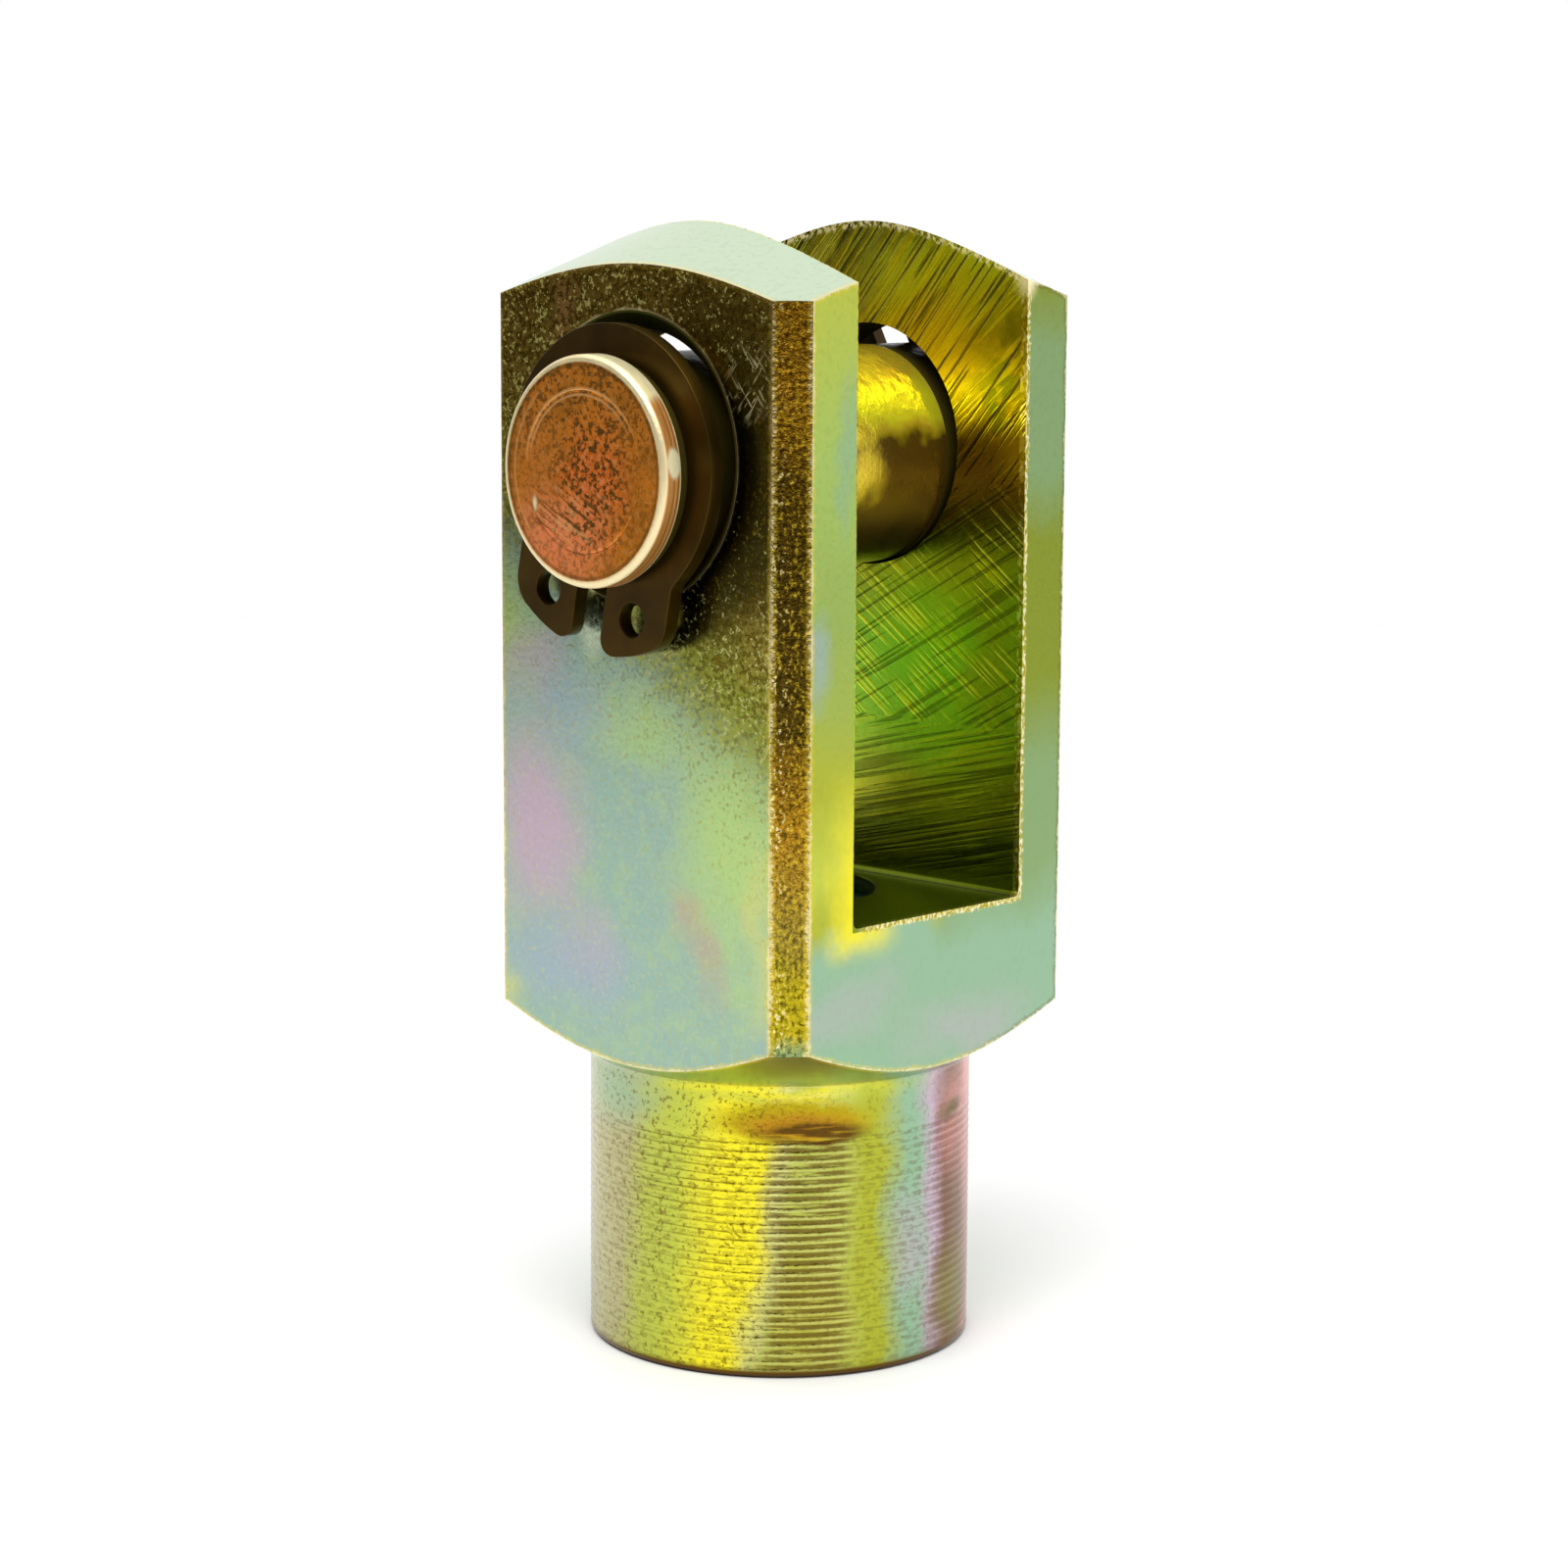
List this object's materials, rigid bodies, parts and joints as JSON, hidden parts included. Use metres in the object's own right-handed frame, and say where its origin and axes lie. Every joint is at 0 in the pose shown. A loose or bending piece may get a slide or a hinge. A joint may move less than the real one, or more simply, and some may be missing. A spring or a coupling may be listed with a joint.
{
  "type": "clevis rod end",
  "caption": "Square-bodied fork head with a round tapped shank, and a turning clevis pin kept in its ears by snap rings.",
  "frame": {"origin": "centre of the shank's end face, which the part stands on", "axes": "+Z along the rod's axis from the shank end to the ears; the pin lies along Y; the fork is open along X"},
  "size_m": [0.019, 0.025, 0.0508],
  "materials": {
    "fork_plating": "zinc plated and yellow chromated steel, satin, with yellow, green and pink tints",
    "pin_plating": "zinc plated and yellow chromated steel, amber and golden",
    "ring_black": "black phosphated and oiled spring steel, semi-gloss"
  },
  "bodies": {
    "fork": {"fork_head": "fork_plating"},
    "pin": {"clevis_pin": "pin_plating", "front_retaining_ring": "ring_black", "rear_retaining_ring": "ring_black"}
  },
  "joints": [
    {"name": "pin_turn", "type": "hinge", "parent": "fork", "child": "pin", "pos_m": [0, 0, 0.0402], "axis": [0, 1, 0], "continuous": true}
  ]
}
